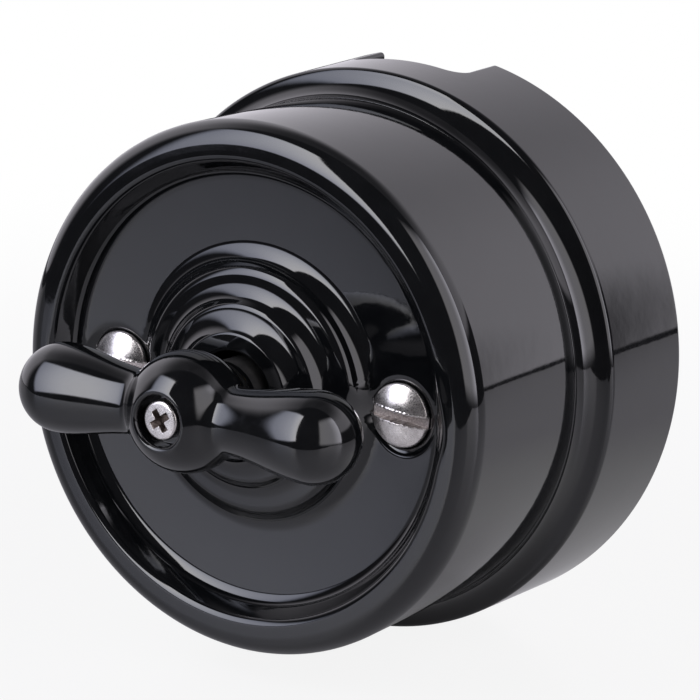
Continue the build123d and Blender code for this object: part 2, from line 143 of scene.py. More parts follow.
# Knob
hub_depth = 52.5
hub_radius = 7.05
hub_front_reach = 6.58
wing_depth = 52.6
wing_reach = 22.8
wing_ball_radius = 5.3
wing_neck_radius = 3.8
wing_neck_reach = 6.0
wing_blend = 0.45
stem_radius = 4.3
stem_depth = 38.9
stem_blend = 1.0
recess_radius = 3.0
recess_depth = 55.8
knob_lip_round = 0.75
knob_bore_radius = 3.05
knob_bore_half_flat = 2.35
knob_bore_end = 52.0

# Knob screw; its cross narrows by these shares down to its floor
knob_screw_head_radius = 2.3
knob_screw_face = 57.75
knob_screw_round = 0.35
knob_screw_radius = 1.25
knob_screw_length = 13.0
face_crown = 0.12
cross_width = 0.85
cross_reach = 1.4
cross_depth = 1.2
cross_turn = radians(35)
cross_edge_round = 0.05
cross_width_taper = 0.25
cross_reach_taper = 0.55

# Where the second finish of a piece starts and ends
bare_face_level = 0.98
bare_face_depth = 0.05
stem_show = 1.2
cut_start = 0.06
slot_finish_margin = 0.05
cross_finish_reach = 1.1 * cross_reach
cross_finish_depth = 1.5 * cross_depth

# Fineness of the turned surfaces and the plan sheets
lathe_segments = 240
arc_step = radians(7.5)
patch_segments = 96
screw_patch = 6.2
screw_ring_step = 0.22
ceiling_patch = 3.6
ceiling_ring_step = 0.6
ceiling_rings = 8
plan_tolerance = 1e-6
merge_digits = 4

# A round that reaches the end of its line is a little smaller, so that it ends before the line does
end_round_share = 0.99

# A blend of two distances spreads over this many times its radius
blend_spread = 3

# Settling of a net onto its field
slope_step = 0.02
settling_rounds = 4
longest_move = 0.3
least_steepness = 0.25
least_length = 1e-9
FIELD_TO_FRAME = np.array((1, -1, 1))

# Grids of the nets: margins, spacings, and the base's stretches as (start, end, spacing)
knob_margin = 0.5
knob_spacing = 0.2
screw_margin = 0.3
screw_spacing = 0.1
screw_head_zone = 2.5
knob_screw_margin = 0.2
knob_screw_spacing = 0.06
knob_screw_head_zone = 1.2
shank_margin = 0.3
shank_spacing = 0.4
base_turns_in_degrees = (
    (-90, 64, 1.5), (64, 75, 0.8), (75, 80, 0.3), (80, 100, 1.0),
    (100, 105, 0.3), (105, 116, 0.8), (116, 270, 1.5),
)
base_radii = (
    (0, 9, 1.5), (9, 16.2, 0.5), (16.2, 18.4, 0.7), (18.4, 19.4, 0.25),
    (19.4, 29, 0.6), (29, 30.2, 0.3), (30.2, 31.6, 0.45), (31.6, 36, 0.16),
)
base_depths = (-0.3, 1, 0.13), (1, 6.4, 0.6), (6.4, 9.2, 0.2), (9.2, 15.6, 0.8), (15.6, 20, 0.16)

# Colours of the glaze, and the part of a noise's range over which a finish varies
glaze_dark = 0.0026, 0.0029, 0.0034
glaze_light = 0.0042, 0.0045, 0.0050
noise_range = 0.3, 0.7
noise_detail = 3.0

# Camera: the photograph's view, fitted to the round edges; lengths here and below are in metres
camera_aim = Vector((0, -0.025, 0))
camera_turn = radians(33.28)
camera_rise = radians(14.16)
camera_roll = radians(1.42)
camera_distance = 0.350
camera_sensor_mm = 36
camera_lens_mm = 149.2
look_right = 0.00339
look_up = 0.00181

# World: strengths of the mirrored backdrop, by the turn from the front to the right and by the rise
left_edge = radians(-84), radians(-62)
left_strength = 1.15
left_fall = radians(-165), radians(-112)
left_far_share = 0.63
right_edge = radians(94), radians(104)
right_strength = 1.18
right_fall = radians(147), radians(180)
right_far_share = 0.62
right_lower_edge = sin(radians(15)), sin(radians(21))
right_full_turn = radians(144), radians(149)
upper_fall = sin(radians(36)), sin(radians(72))
upper_share = 0.1
horizon = sin(radians(-4.6)), sin(radians(-4))
matt_share = 0.6
room_strength = 0.05
room_tint = 1.0, 0.965, 1.05
white = 1.0, 1.0, 1.0

# Floor: a disc cut off in front; its colour and glow go by the reach from its middle and along a way. Its
# colour is painted shade towards the front left and painted light towards the back right, and its glow for
# mirrors holds a painted pool of light beside the part
floor_segments = 144
floor_radius = 0.43
floor_front = -0.185
floor_gap = 0.00005
floor_painted_light_colours = (0.21, 0.21, 0.225), (0.78, 0.77, 0.79)
floor_roughness = 0.28
floor_way = 0.8, 0.6, 0
floor_shade = -0.17, 0.12
camera_glow_reach = 0.05, 0.3
camera_glow = 0.88, 1.0
painted_pool_reach = 0.05, 0.1
painted_pool_glow = 0.3, 0.0
painted_pool_edge = 0.0, 0.04
mirror_glow_least = 0.1

# Lamps: the place that they stand round
lamp_centre = Vector((0, -0.045, 0))


def rounded_line(corners):
    """Points and outward normals along an open line of (radius, depth, round) corners."""
    points = [corners[0][:2]]
    turns = []
    for before, corner, after in zip(corners, corners[1:], corners[2:]):
        here = np.array(corner[:2])
        inward = here - np.array(before[:2])
        outward = np.array(after[:2]) - here
        inward /= np.linalg.norm(inward)
        outward /= np.linalg.norm(outward)
        turn = atan2(inward[0] * outward[1] - inward[1] * outward[0], inward @ outward)
        turns.append((here, inward, turn, corner[2]))
    normals = [(turns[0][1][1], -turns[0][1][0])]
    for here, inward, turn, round_radius in turns:
        start = here - inward * round_radius * tan(abs(turn) / 2)
        side = 1 if turn > 0 else -1
        left = np.array((-inward[1], inward[0]))
        centre = start + side * round_radius * left
        steps = max(2, ceil(abs(turn) / arc_step))
        for i in range(steps + 1):
            angle = turn * i / steps
            way = np.array((
                inward[0] * cos(angle) - inward[1] * sin(angle),
                inward[0] * sin(angle) + inward[1] * cos(angle),
            ))
            normal = np.array((way[1], -way[0]))
            points.append(tuple(centre + side * round_radius * normal))
            normals.append(tuple(normal))
    points.append(corners[-1][:2])
    normals.append(normals[-1])
    return np.array(points), np.array(normals)


def lathe(points, normals):
    """Vertices, quads and normals of a line turned about the Y axis."""
    turn = np.arange(lathe_segments) * 2 * pi / lathe_segments
    c, s = np.cos(turn)[None, :], np.sin(turn)[None, :]
    flat = np.ones_like(c)
    radius, depth = points[:, :1], points[:, 1:]
    verts = np.stack([radius * c, -depth * flat, radius * s], -1).reshape(-1, 3)
    across, out = normals[:, :1], normals[:, 1:]
    vert_normals = np.stack([across * c, -out * flat, across * s], -1).reshape(-1, 3)
    rows, columns = np.meshgrid(np.arange(len(points) - 1), np.arange(lathe_segments), indexing="ij")
    beside = (columns + 1) % lathe_segments
    quads = np.stack([
        rows * lathe_segments + columns,
        rows * lathe_segments + beside,
        (rows + 1) * lathe_segments + beside,
        (rows + 1) * lathe_segments + columns,
    ], -1).reshape(-1, 4)
    return verts, quads, vert_normals


def join_surfaces(surfaces):
    """One set of vertices, faces and normals from several that share their borders."""
    verts = np.concatenate([s[0] for s in surfaces])
    normals = np.concatenate([s[2] for s in surfaces])
    starts = np.cumsum([0] + [len(s[0]) for s in surfaces])
    rounded = np.round(verts, merge_digits)
    _, first, merged = np.unique(rounded, axis=0, return_index=True, return_inverse=True)
    merged = merged.ravel()
    faces = []
    for start, (_, polygons, _) in zip(starts, surfaces):
        for polygon in polygons:
            corners = list(dict.fromkeys(merged[start + i] for i in polygon))
            if len(corners) > 2:
                faces.append(corners)
    return verts[first], faces, normals[first]


def new_piece(name, verts, faces, normals):
    """A smooth mesh object from millimetre vertices, with its faces turned to its normals."""
    a, b, c = (verts[[face[i] for face in faces]] for i in (0, 1, -1))
    facing = normals[[face[0] for face in faces]] + normals[[face[1] for face in faces]]
    agrees = (np.cross(b - a, c - a) * facing).sum(1) > 0
    turned_faces = [[int(i) for i in (f if good else f[::-1])] for f, good in zip(faces, agrees)]
    mesh = bpy.data.meshes.new(name)
    mesh.from_pydata((verts * MM).tolist(), [], turned_faces)
    mesh.validate()
    mesh.shade_smooth()
    mesh.normals_split_custom_set_from_vertices(normals.tolist())
    piece = bpy.data.objects.new(name, mesh)
    bpy.context.scene.collection.objects.link(piece)
    return piece


def round_both(a, b, radius):
    """Distance outside the overlap of two distances, with its square corner rounded."""
    corner = np.hypot(np.maximum(a + radius, 0), np.maximum(b + radius, 0))
    return np.minimum(-radius, np.maximum(a, b)) + corner


def blunt(radius, turn):
    """The square-corner radius that rounds a corner of another turn as deep as a radius does."""
    return radius * (1 / cos(turn / 2) - 1) / (sqrt(2) - 1)


def smooth_least(a, b, width):
    """The lesser of two distances, with their meeting rounded over a width."""
    near = np.maximum(width - np.abs(a - b), 0) / width
    return np.minimum(a, b) - near**3 * width / 6


def straight(x, depth, z):
    """Grid places of a field that is sampled along the frame's own axes."""
    return x, depth, z


def turned(turn, radius, depth):
    """Grid places of a field that is sampled round the Y axis."""
    return radius * np.cos(turn), depth, radius * np.sin(turn)


def graded(*stretches):
    """Grid lines over stretches that follow on, each given as (start, end, spacing)."""
    lines = [np.linspace(a, b, ceil((b - a) / step) + 1)[:-1] for a, b, step in stretches]
    return np.concatenate([*lines, [stretches[-1][1]]])


def net_spots(grid, axes, place):
    """A spot for each cell that the skin passes through, and the spots' numbers by cell."""
    offsets = list(product((0, 1), repeat=3))
    shape = np.array(grid.shape) - 1
    corners = [grid[tuple(slice(o, o + n) for o, n in zip(offset, shape))] < 0 for offset in offsets]
    count = sum(corner.astype(np.int8) for corner in corners)
    mixed = (count > 0) & (count < len(offsets))
    cells = np.argwhere(mixed)
    number = np.full(shape, -1)
    number[mixed] = np.arange(len(cells))
    total, crossings = np.zeros((len(cells), 3)), np.zeros((len(cells), 1))
    for a in offsets:
        for axis in range(3):
            if a[axis]:
                continue
            b = tuple(o + (i == axis) for i, o in enumerate(a))
            at_a, at_b = grid[tuple((cells + a).T)], grid[tuple((cells + b).T)]
            crossed = (at_a < 0) != (at_b < 0)
            share = np.where(crossed, at_a / np.where(crossed, at_a - at_b, 1), 0)
            spot = np.array(a)[None, :] + share[:, None] * np.eye(3)[axis]
            total += np.where(crossed[:, None], spot, 0)
            crossings += crossed[:, None]
    index = cells + total / crossings
    along = [np.interp(index[:, i], np.arange(len(axis)), axis) for i, axis in enumerate(axes)]
    if place is turned:
        # The innermost ring of cells closes on the axis
        along[1][cells[:, 1] == 0] = 0
    return np.stack(place(*along), -1), number


def net_quads(inside, number):
    """A quad round each grid edge that the skin crosses, from the spots' numbers by cell."""
    quads = []
    for axis in range(3):
        u, v = [i for i in range(3) if i != axis]
        first = inside[tuple(slice(0, -1) if i == axis else slice(1, -1) for i in range(3))]
        second = inside[tuple(slice(1, None) if i == axis else slice(1, -1) for i in range(3))]
        edges = np.argwhere(first != second)
        around = edges + np.array([i != axis for i in range(3)], int)
        corners = []
        for du, dv in ((0, 0), (1, 0), (1, 1), (0, 1)):
            cell = around.copy()
            cell[:, u] -= du
            cell[:, v] -= dv
            corners.append(number[tuple(cell.T)])
        quads.append(np.stack(corners, -1))
    return np.concatenate(quads)


def field_slope(field, spots):
    """The slope of a distance field at spots."""
    rises = [field(*(spots + slope_step * e).T) - field(*(spots - slope_step * e).T) for e in np.eye(3)]
    return np.stack(rises, -1) / (2 * slope_step)


def field_skin(field, axes, place=straight):
    """Vertices, quads and normals of a distance field's skin, by surface nets settled onto it."""
    grid = field(*place(*np.meshgrid(*axes, indexing="ij")))
    spots, number = net_spots(grid, axes, place)
    for _ in range(settling_rounds):
        slope = field_slope(field, spots)
        steepness = np.maximum((slope**2).sum(1), least_steepness)
        move = (field(*spots.T) / steepness)[:, None] * slope
        spots = spots - np.clip(move, -longest_move, longest_move)
    slope = field_slope(field, spots)
    normals = slope / np.maximum(np.linalg.norm(slope, axis=1, keepdims=True), least_length)
    quads = net_quads(grid < 0, number)
    return join_surfaces([(spots * FIELD_TO_FRAME, quads, normals * FIELD_TO_FRAME)])


def base_field(x, depth, z):
    """Distance outside the base's skin, in millimetres."""
    axial = np.hypot(x, z)
    draft = (base_back_radius - base_front_radius) / base_front_depth
    wall = (axial - base_back_radius + draft * depth) / hypot(1, draft)
    cove = cove_round - np.hypot(axial - base_front_radius, depth - base_front_depth - cove_round)
    skin = round_both(wall, -depth, base_edge_round)
    skin = round_both(skin, cove, base_edge_round)
    skin = round_both(skin, depth - seat_depth, seat_edge_round)
    cavity = round_both(axial - cavity_radius, base_floor - depth, base_edge_round)
    skin = round_both(skin, -cavity, base_edge_round / 2)
    notch = round_both(np.abs(x) - notch_half_width, depth - notch_depth, notch_corner)
    skin = round_both(skin, -np.maximum(notch, notch_start - z), notch_edge_round)
    diagonal = wall_hole_reach / sqrt(2)
    for side in (-1, 1):
        reach = np.hypot(x - side * diagonal, z - side * diagonal)
        head = np.maximum(reach - wall_head_radius, base_floor - wall_head_depth - depth)
        skin = round_both(skin, -np.minimum(reach - wall_hole_radius, head), hole_edge_round)
        reach = np.hypot(x - side * fixing_reach, z)
        head = np.maximum(reach - fixing_head_radius, depth - fixing_head_depth)
        skin = round_both(skin, -np.minimum(reach - fixing_hole_radius, head), hole_edge_round)
    return skin


def make_base():
    """The base: a turned dish with the cable notch and the screw holes cut from it."""
    degrees = graded(*base_turns_in_degrees)
    turns = np.radians(np.append(degrees, degrees[-1] + degrees[1] - degrees[0]))
    axes = turns, graded(*base_radii), graded(*base_depths)
    return new_piece("base_glazed", *field_skin(base_field, axes, turned))


def front_of_cover(x, z, table):
    """Depth of the cover's front at plan points, with soft lips round the screw recesses."""
    depth = np.interp(np.hypot(x, z), table[0], table[1])
    for side in (-1, 1):
        reach = np.hypot(x - side * screw_reach, z)
        cone = field_depth - (screw_recess_radius - reach)
        depth = smooth_least(depth, cone, screw_lip)
    return depth


def ceiling_of_cover(x, z):
    """Depth of the cover's ceiling at plan points."""
    return np.full_like(x, ceiling_depth)


def plan_sheet(radii, patch, patch_step, depth_at, facing):
    """A sheet over rings of plan points, finer round the screw holes and open inside them."""
    screws = np.array((-screw_reach, screw_reach))
    turn = np.exp(2j * pi * np.arange(lathe_segments) / lathe_segments)
    plan = (radii[:, None] * turn[None, :]).ravel()
    plan = plan[np.abs(plan[:, None] - screws).min(1) > patch]
    rings = np.arange(screw_hole_radius, patch, patch_step)
    local = (rings[:, None] * np.exp(2j * pi * np.arange(patch_segments) / patch_segments)).ravel()
    plan = np.concatenate([plan, local - screw_reach, local + screw_reach])
    found = delaunay_2d_cdt([(p.real, p.imag) for p in plan], [], [], 0, plan_tolerance, False)
    spots = np.array([tuple(v) for v in found[0]])
    x, z = spots.T
    verts = np.stack([x, -depth_at(x, z), z], -1)
    slope_x = depth_at(x + slope_step, z) - depth_at(x - slope_step, z)
    slope_z = depth_at(x, z + slope_step) - depth_at(x, z - slope_step)
    tilt = np.stack([-slope_x, -np.full_like(x, 2 * slope_step), -slope_z], -1)
    tilt *= facing / np.linalg.norm(tilt, axis=1, keepdims=True)
    triangles = np.array(found[2])
    middle = spots[triangles].mean(1)
    kept = np.hypot(*middle.T) > radii.min()
    for reach in screws:
        kept &= np.hypot(middle[:, 0] - reach, middle[:, 1]) > screw_hole_radius
    return verts, triangles[kept], tilt


def screw_hole_wall(reach, depth_at):
    """The wall of one screw hole, from the sheet in front down to the ceiling."""
    turn = 2 * pi * np.arange(patch_segments) / patch_segments
    x, z = reach + screw_hole_radius * np.cos(turn), screw_hole_radius * np.sin(turn)
    front = np.stack([x, -depth_at(x, z), z], -1)
    back = np.stack([x, -np.full_like(x, ceiling_depth), z], -1)
    inward = np.stack([-np.cos(turn), np.zeros_like(turn), -np.sin(turn)], -1)
    here = np.arange(patch_segments)
    beside = (here + 1) % patch_segments
    quads = np.stack([here, beside, beside + patch_segments, here + patch_segments], -1)
    return np.concatenate([front, back]), quads, np.concatenate([inward, inward])


def make_cover():
    """The cover: its front and ceiling as plan sheets, the rest turned."""
    crest = (cover_radius - rim_round - crest_setback, rim_depth)
    bore_front = (bore_radius + cover_edge_round, boss_depth)
    ceiling_start = ring_foot_radius + cover_inner_round
    ceiling_end = cover_inner_radius - cover_inner_round
    front_line = [
        (*crest, 0),
        (cover_radius - rim_width, rim_depth, ogee_round),
        (cover_radius - rim_width - ogee_run, field_depth + field_dish, ogee_foot_round),
        (ring_foot_radius, field_depth - field_dish, ring_foot_round),
        (ring_foot_radius - stair_lean, ring_depth, ring_nose_round),
        (step_foot_radius, ring_depth, step_foot_round),
        (step_foot_radius - stair_lean, step_depth, step_nose_round),
        (boss_foot_radius, step_depth, boss_foot_round),
        (boss_foot_radius - stair_lean, boss_depth, boss_nose_round),
        (*bore_front, 0),
    ]
    bore_line = [
        (*bore_front, 0),
        (bore_radius, boss_depth, cover_edge_round * end_round_share),
        (bore_radius, boss_ceiling_depth, cover_edge_round),
        (step_foot_radius, boss_ceiling_depth, cover_edge_round),
        (ring_foot_radius, ceiling_depth, cover_inner_round),
        (ceiling_start, ceiling_depth, 0),
    ]
    skirt_line = [
        (ceiling_end, ceiling_depth, 0),
        (cover_inner_radius, ceiling_depth, cover_inner_round * end_round_share),
        (cover_inner_radius, spigot_back, cover_edge_round),
        (spigot_radius, spigot_back, cover_edge_round),
        (spigot_radius, seat_depth, seat_corner_round),
        (cover_radius, seat_depth, seat_edge_round),
        (cover_radius, rim_depth, rim_round),
        (*crest, 0),
    ]
    points, _ = rounded_line(front_line)
    order = np.argsort(points[:, 0])
    front_at = partial(front_of_cover, table=(points[order, 0], points[order, 1]))
    ceiling_radii = np.linspace(ceiling_start, ceiling_end, ceiling_rings)
    surfaces = [
        plan_sheet(points[:, 0], screw_patch, screw_ring_step, front_at, 1),
        plan_sheet(ceiling_radii, ceiling_patch, ceiling_ring_step, ceiling_of_cover, -1),
        *[screw_hole_wall(reach, front_at) for reach in (-screw_reach, screw_reach)],
        lathe(*rounded_line(bore_line)),
        lathe(*rounded_line(skirt_line)),
    ]
    return new_piece("cover_glazed", *join_surfaces(surfaces))


def knob_field(x, depth, z):
    """Distance outside the knob's skin, in millimetres."""
    axial = np.hypot(x, z)
    ahead = depth - hub_depth
    flattened = np.where(ahead > 0, ahead * hub_radius / hub_front_reach, ahead)
    ball = np.hypot(axial, flattened) - hub_radius
    stem = np.maximum(np.maximum(axial - stem_radius, stem_depth - depth), depth - hub_depth)
    hub = smooth_least(ball, stem, blend_spread * stem_blend)
    reach = np.abs(x)
    ball_reach = wing_reach - wing_ball_radius
    # The wing's girth goes from neck to ball by a smooth step, and its lean is that step's slope
    along = np.clip((reach - wing_neck_reach) / (ball_reach - wing_neck_reach), 0, 1)
    swell = wing_ball_radius - wing_neck_radius
    girth = wing_neck_radius + swell * along**2 * (3 - 2 * along)
    lean = 6 * swell * along * (1 - along) / (ball_reach - wing_neck_reach)
    off_axis = np.hypot(depth - wing_depth, z)
    flank = (off_axis - girth) / np.sqrt(1 + lean**2)
    tip = np.hypot(reach - ball_reach, off_axis) - wing_ball_radius
    wing = np.where(reach > ball_reach, tip, flank)
    skin = smooth_least(hub, wing, blend_spread * wing_blend)
    recess = np.maximum(axial - recess_radius, recess_depth - depth)
    skin = round_both(skin, -recess, knob_lip_round)
    bore = np.maximum(axial - knob_bore_radius, np.abs(z) - knob_bore_half_flat)
    return np.maximum(skin, -np.maximum(bore, depth - knob_bore_end))


def make_knob():
    """The knob: a ball hub on its stem, with two drop-shaped wings."""
    axes = (
        graded((-wing_reach - knob_margin, wing_reach + knob_margin, knob_spacing)),
        graded((stem_depth - knob_margin, hub_depth + hub_radius + knob_margin, knob_spacing)),
        graded((-hub_radius - knob_margin, hub_radius + knob_margin, knob_spacing)),
    )
    return new_piece("knob_glazed", *field_skin(knob_field, axes))


def burr(along, phase):
    """An uneven height along an edge, from a few waves that don't repeat together."""
    swell = np.sin(burr_long_wave * along + phase) * np.sin(burr_short_wave * along + 2 * phase)
    return swell + burr_fine_share * np.sin(burr_fine_wave * along + 3 * phase)


def cover_screw_field(x, depth, z, phase):
    """Distance outside a raised countersunk screw's skin, with a burred slot turned a little from X."""
    axial = np.hypot(x, z)
    x, z = x * cos(slot_turn) + z * sin(slot_turn), z * cos(slot_turn) - x * sin(slot_turn)
    dome_radius = (screw_head_radius**2 + screw_dome**2) / (2 * screw_dome)
    crown = screw_rim_depth + screw_dome
    dome = np.hypot(axial, depth - crown + dome_radius) - dome_radius
    cone = (axial - screw_head_radius + screw_rim_depth - depth) / sqrt(2)
    head = round_both(dome, cone, blunt(screw_rim_round, 3 * pi / 4))
    tail = np.maximum(axial - screw_radius, screw_rim_depth - screw_length - depth)
    tail = np.maximum(tail, depth - screw_rim_depth)
    skin = np.minimum(head, tail)
    edge = np.abs(z) - slot_width / 2
    ridge = np.exp(-((edge - slot_burr) / slot_burr) ** 2)
    rise = burr_mean_share + burr_rise_share * burr(x, phase + np.sign(z))
    skin = skin - slot_burr * ridge * rise
    side = edge + burr_side_share * slot_burr * burr(x, 2 * phase - np.sign(z))
    slot = np.maximum(side, crown - slot_depth - depth)
    return round_both(skin, -slot, slot_edge_round)


def make_cover_screws():
    """The two cover screws, in one piece."""
    half_width = screw_head_radius + screw_margin
    across = graded((-half_width, half_width, screw_spacing))
    zone_start = screw_rim_depth - screw_head_zone
    depths = graded(
        (screw_rim_depth - screw_length - shank_margin, zone_start, shank_spacing),
        (zone_start, screw_rim_depth + screw_dome + screw_margin, screw_spacing),
    )
    skins = []
    for side in (-1, 1):
        field = partial(cover_screw_field, phase=side)
        verts, faces, normals = field_skin(field, (across, depths, across))
        skins.append((verts + np.array((side * screw_reach, 0, 0)), faces, normals))
    return new_piece("cover_screws_slotted", *join_surfaces(skins))


def knob_screw_field(x, depth, z):
    """Distance outside the knob screw's skin, with its cross turned a little."""
    axial = np.hypot(x, z)
    face = depth - knob_screw_face + face_crown * (axial / knob_screw_head_radius) ** 2
    head = round_both(axial - knob_screw_head_radius, face, knob_screw_round)
    cone = (axial - knob_screw_head_radius + recess_depth - depth) / sqrt(2)
    head = np.maximum(head, cone)
    tail = np.maximum(axial - knob_screw_radius, knob_screw_face - knob_screw_length - depth)
    skin = np.minimum(head, np.maximum(tail, depth - recess_depth))
    u = x * cos(cross_turn) + z * sin(cross_turn)
    v = z * cos(cross_turn) - x * sin(cross_turn)
    sunk = np.clip((knob_screw_face - depth) / cross_depth, 0, 1)
    half_width = cross_width / 2 * (1 - cross_width_taper * sunk)
    half_length = cross_reach * (1 - cross_reach_taper * sunk)
    cross = np.full_like(skin, np.inf)
    for across, along in ((u, v), (v, u)):
        arm = np.maximum(np.abs(across) - half_width, np.abs(along) - half_length)
        cross = np.minimum(cross, arm)
    cross = np.maximum(cross, knob_screw_face - cross_depth - depth)
    return round_both(skin, -cross, cross_edge_round)


def make_knob_screw():
    """The screw in the knob's front."""
    half_width = knob_screw_head_radius + knob_screw_margin
    across = graded((-half_width, half_width, knob_screw_spacing))
    zone_start = recess_depth - knob_screw_head_zone
    depths = graded(
        (knob_screw_face - knob_screw_length - shank_margin, zone_start, shank_spacing),
        (zone_start, knob_screw_face + knob_screw_margin, knob_screw_spacing),
    )
    return new_piece("knob_screw_crossed", *field_skin(knob_screw_field, (across, depths, across)))


def math_node(tree, operation, *values):
    """A math node fed by sockets or numbers; returns its output."""
    node = tree.nodes.new("ShaderNodeMath")
    node.operation = operation
    for socket, value in zip(node.inputs, values):
        if isinstance(value, bpy.types.NodeSocket):
            tree.links.new(value, socket)
        else:
            socket.default_value = value
    return node.outputs[0]


def vector_node(tree, operation, vector, other=(0, 0, 0)):
    """A vector math node that gives a number; returns its output."""
    node = tree.nodes.new("ShaderNodeVectorMath")
    node.operation = operation
    node.inputs[1].default_value = other
    tree.links.new(vector, node.inputs[0])
    return node.outputs["Value"]


def split_vector(tree, vector):
    """The outputs for the three coordinates of a vector."""
    node = tree.nodes.new("ShaderNodeSeparateXYZ")
    tree.links.new(vector, node.inputs[0])
    return node.outputs


def ramp(tree, value, low, high, at_low=0.0, at_high=1.0):
    """A smooth step of a value between two limits; returns its output."""
    node = tree.nodes.new("ShaderNodeMapRange")
    node.interpolation_type = "SMOOTHSTEP"
    tree.links.new(value, node.inputs["Value"])
    for name, number in (("From Min", low), ("From Max", high), ("To Min", at_low), ("To Max", at_high)):
        node.inputs[name].default_value = number
    return node.outputs[0]


def noise(tree, spots, scale):
    """A noise of a given count per metre; returns its height."""
    node = tree.nodes.new("ShaderNodeTexNoise")
    node.inputs["Scale"].default_value = scale
    node.inputs["Detail"].default_value = noise_detail
    tree.links.new(spots, node.inputs["Vector"])
    return node.outputs["Fac"]


def mixed_colour(tree, share, first, second):
    """A mix of two colours by a share; returns its output."""
    node = tree.nodes.new("ShaderNodeMix")
    node.data_type = "RGBA"
    tree.links.new(share, node.inputs["Factor"])
    for socket, value in zip((s for s in node.inputs if s.type == "RGBA"), (first, second)):
        socket.default_value = (*value, 1)
    return next(s for s in node.outputs if s.type == "RGBA")


def mirrored_ray(tree, path):
    """1 for a ray that comes off or through a clear surface; returns its output."""
    return math_node(tree, "MAXIMUM", path.outputs["Is Glossy Ray"], path.outputs["Is Transmission Ray"])


def surface_material(name, dark, light, metallic, roughness, patches, reliefs, refraction=1.5):
    """A material whose colour, roughness and relief vary over the surface.

    The patches of colour and the reliefs are counts per metre, a relief's height is in metres.
    """
    material = bpy.data.materials.new(name)
    material.use_nodes = True
    tree = material.node_tree
    shader = tree.nodes["Principled BSDF"]
    shader.inputs["Metallic"].default_value = metallic
    shader.inputs["IOR"].default_value = refraction
    spots = tree.nodes.new("ShaderNodeTexCoord").outputs["Object"]
    patch = ramp(tree, noise(tree, spots, patches), *noise_range)
    tree.links.new(mixed_colour(tree, patch, dark, light), shader.inputs["Base Color"])
    grain = noise(tree, spots, reliefs[-1][0])
    tree.links.new(ramp(tree, grain, *noise_range, *roughness), shader.inputs["Roughness"])
    normal = None
    for scale, height in reliefs:
        bump = tree.nodes.new("ShaderNodeBump")
        bump.inputs["Distance"].default_value = height
        tree.links.new(noise(tree, spots, scale), bump.inputs["Height"])
        if normal is not None:
            tree.links.new(normal, bump.inputs["Normal"])
        normal = bump.outputs["Normal"]
    tree.links.new(normal, shader.inputs["Normal"])
    return material


# The finishes, in the order of surface_material's arguments after the name
finishes = {
    "black_glaze": (glaze_dark, glaze_light, 0.0, (0.03, 0.065), 260, ((180, 1.2e-5), (2600, 4e-7)), 1.6),
    "worn_glaze": (glaze_dark, glaze_light, 0.0, (0.035, 0.105), 260, ((180, 1.2e-5), (800, 1.6e-6)), 1.6),
    "bare_ceramic": (
        (0.009, 0.0086, 0.0082), (0.0195, 0.0184, 0.0172), 0.0, (0.62, 0.82), 700,
        ((900, 3e-5), (6000, 1.5e-5)),
    ),
    "nickel": (
        (0.66, 0.62, 0.60), (0.82, 0.78, 0.755), 1.0, (0.22, 0.34), 1500,
        ((1400, 1.2e-5), (9000, 6e-6)),
    ),
    "slot_metal": (
        (0.36, 0.32, 0.305), (0.66, 0.61, 0.585), 1.0, (0.38, 0.62), 5000,
        ((3500, 2.5e-5), (11000, 1.2e-5)),
    ),
    # The knob screw's cross: dark partly from oxide and partly from painted shade in its recess
    "cross_oxide_and_shade": (
        (0.09, 0.068, 0.06), (0.24, 0.20, 0.18), 1.0, (0.45, 0.7), 4000,
        ((3500, 2e-5), (11000, 1e-5)),
    ),
    "insulation": (
        (0.13, 0.08, 0.05), (0.19, 0.12, 0.07), 0.0, (0.38, 0.55), 900,
        ((1200, 8e-6), (7000, 4e-6)),
    ),
    "zinc_steel": (
        (0.54, 0.56, 0.60), (0.68, 0.69, 0.68), 1.0, (0.25, 0.42), 1100,
        ((1500, 6e-6), (8000, 4e-6)),
    ),
    "spring_steel": (
        (0.36, 0.37, 0.41), (0.47, 0.48, 0.50), 1.0, (0.16, 0.30), 1300,
        ((1500, 4e-6), (9000, 3e-6)),
    ),
    "brass": (
        (0.64, 0.45, 0.19), (0.78, 0.58, 0.29), 1.0, (0.20, 0.36), 1200,
        ((1500, 5e-6), (8000, 3e-6)),
    ),
}
materials = {name: surface_material(name, *finish) for name, finish in finishes.items()}

# The detailed pieces: what each replaces, the body it rides on, its slot in the record and its finish
detailed = (
    (make_base(), "base", "housing", "black_glaze", "black_glaze"),
    (make_cover(), "cover", "housing", "black_glaze", "black_glaze"),
    (make_knob(), "knob", "turning_knob", "black_glaze", "worn_glaze"),
    (make_cover_screws(), "cover_screws", "housing", "nickel", "nickel"),
    (make_knob_screw(), "knob_screw", "turning_knob", "nickel", "nickel"),
)
pieces = {}
for piece, node, body, slot_name, finish in detailed:
    piece.data.materials.append(materials[finish])
    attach(piece, body)
    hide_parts(node)
    pieces[node] = piece


def on_wall(x, depth, z, facing):
    """Tells what of the base stands flat on the wall."""
    return (facing > bare_face_level) & (depth < bare_face_depth)


def in_bore(x, depth, z, facing):
    """Tells what of the knob's stem lies in or just before the cover's bore."""
    return (np.hypot(x, z) < bore_radius) & (depth < boss_depth + stem_show)


def in_slot(x, depth, z, facing):
    """Tells what lies in the slot of either cover screw."""
    x = x - np.sign(x) * screw_reach
    off = np.abs(z * cos(slot_turn) - x * sin(slot_turn))
    dome = screw_rim_depth + screw_dome * (1 - (x**2 + z**2) / screw_head_radius**2)
    deep = (depth < dome - cut_start) & (depth > screw_rim_depth - slot_depth)
    return (off < slot_width / 2 + slot_finish_margin) & deep


def in_cross(x, depth, z, facing):
    """Tells what lies in the knob screw's cross."""
    axial = np.hypot(x, z)
    face = knob_screw_face - face_crown * (axial / knob_screw_head_radius) ** 2
    return (axial < cross_finish_reach) & (depth < face - cut_start) & (depth > face - cross_finish_depth)


